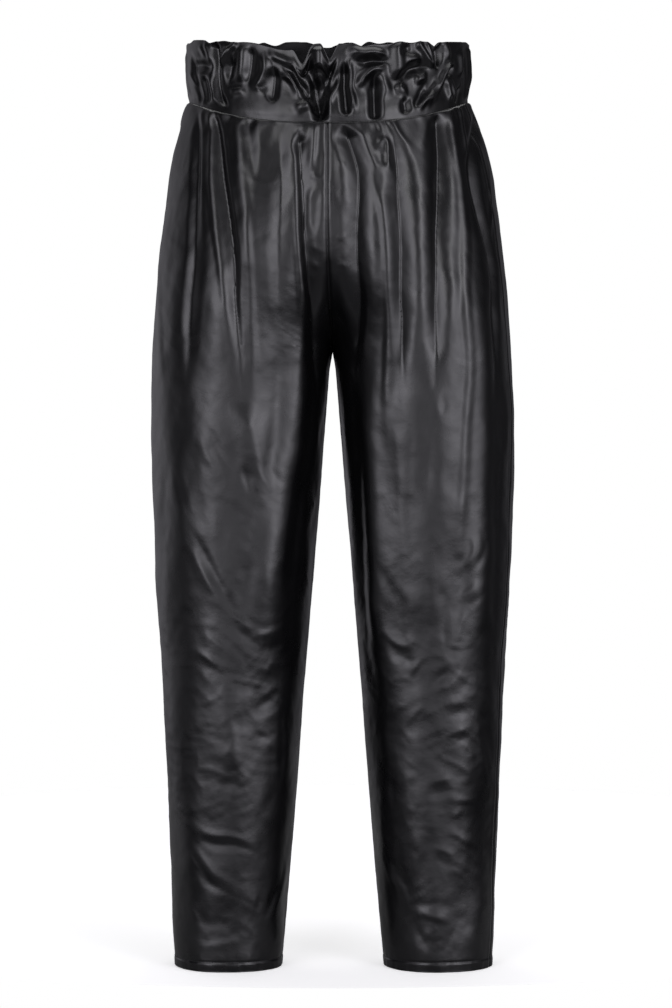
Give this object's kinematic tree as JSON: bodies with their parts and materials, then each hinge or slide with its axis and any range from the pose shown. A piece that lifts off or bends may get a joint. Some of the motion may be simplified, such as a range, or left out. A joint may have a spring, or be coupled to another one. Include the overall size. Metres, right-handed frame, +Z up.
{
  "type": "leather-look tapered trousers",
  "caption": "High-waisted pull-on trousers in black leather-look cloth with a gathered paper-bag waist and tapered legs, filled out as worn",
  "frame": {"origin": "the middle of the waist seam at the height of the two side seams, where the wearer's waist holds the trousers", "axes": "+Z up along the legs, +X to the wearer's left, +Y to the back, so the front faces -Y"},
  "size_m": [0.3998, 0.2478, 1.0318],
  "materials": {
    "coated_cloth": "satin"
  },
  "bodies": {
    "root": {"left_front_panel": "coated_cloth", "right_front_panel": "coated_cloth", "left_back_panel": "coated_cloth", "right_back_panel": "coated_cloth", "waistband_front": "coated_cloth", "waistband_back": "coated_cloth"}
  },
  "joints": []
}
